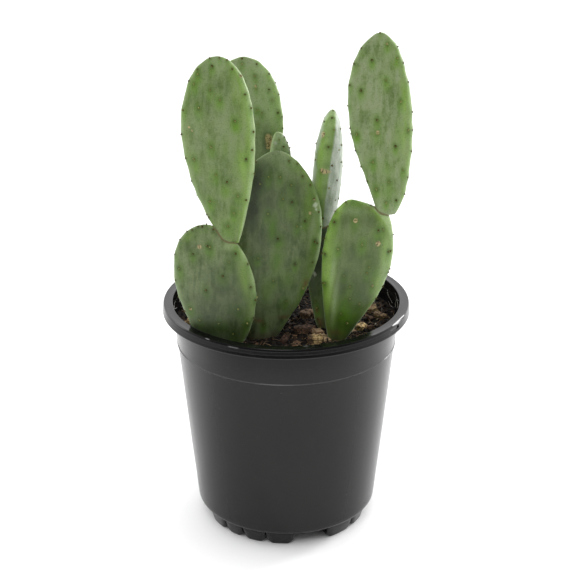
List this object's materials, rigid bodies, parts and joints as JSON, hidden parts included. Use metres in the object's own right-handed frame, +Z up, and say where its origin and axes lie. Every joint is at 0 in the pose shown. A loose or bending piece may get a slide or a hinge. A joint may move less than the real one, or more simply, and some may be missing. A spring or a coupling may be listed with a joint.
{
  "type": "potted opuntia cactus",
  "caption": "Potted opuntia cactus: flat fleshy pads, one growing on another, standing in dark potting mix in a black plastic nursery pot with a foot ring.",
  "frame": {"origin": "on the pot's axis, in the plane of the soles of its feet", "axes": "+Z up; -Y is the side seen in the picture; +X is to the right there"},
  "size_m": [0.165, 0.165, 0.3414],
  "materials": {
    "pot": "satin",
    "mix": "matte",
    "bark": "matte",
    "pad": "satin"
  },
  "bodies": {
    "root": {"pot": "pot", "potting_mix": "mix", "pad_lower_left": "pad", "pad_upper_left": "pad", "pad_lower_middle": "pad", "pad_lower_right": "pad", "pad_upper_right": "pad", "pad_lower_inner": "pad", "pad_upper_inner": "pad", "pad_lower_back": "pad", "pad_upper_back": "pad", "pad_young_back": "pad", "bark_chip_01": "bark", "bark_chip_02": "bark", "bark_chip_03": "bark", "bark_chip_04": "bark", "bark_chip_05": "bark", "bark_chip_06": "bark", "bark_chip_07": "bark", "bark_chip_08": "bark", "bark_chip_09": "bark", "bark_chip_10": "bark"}
  },
  "joints": []
}
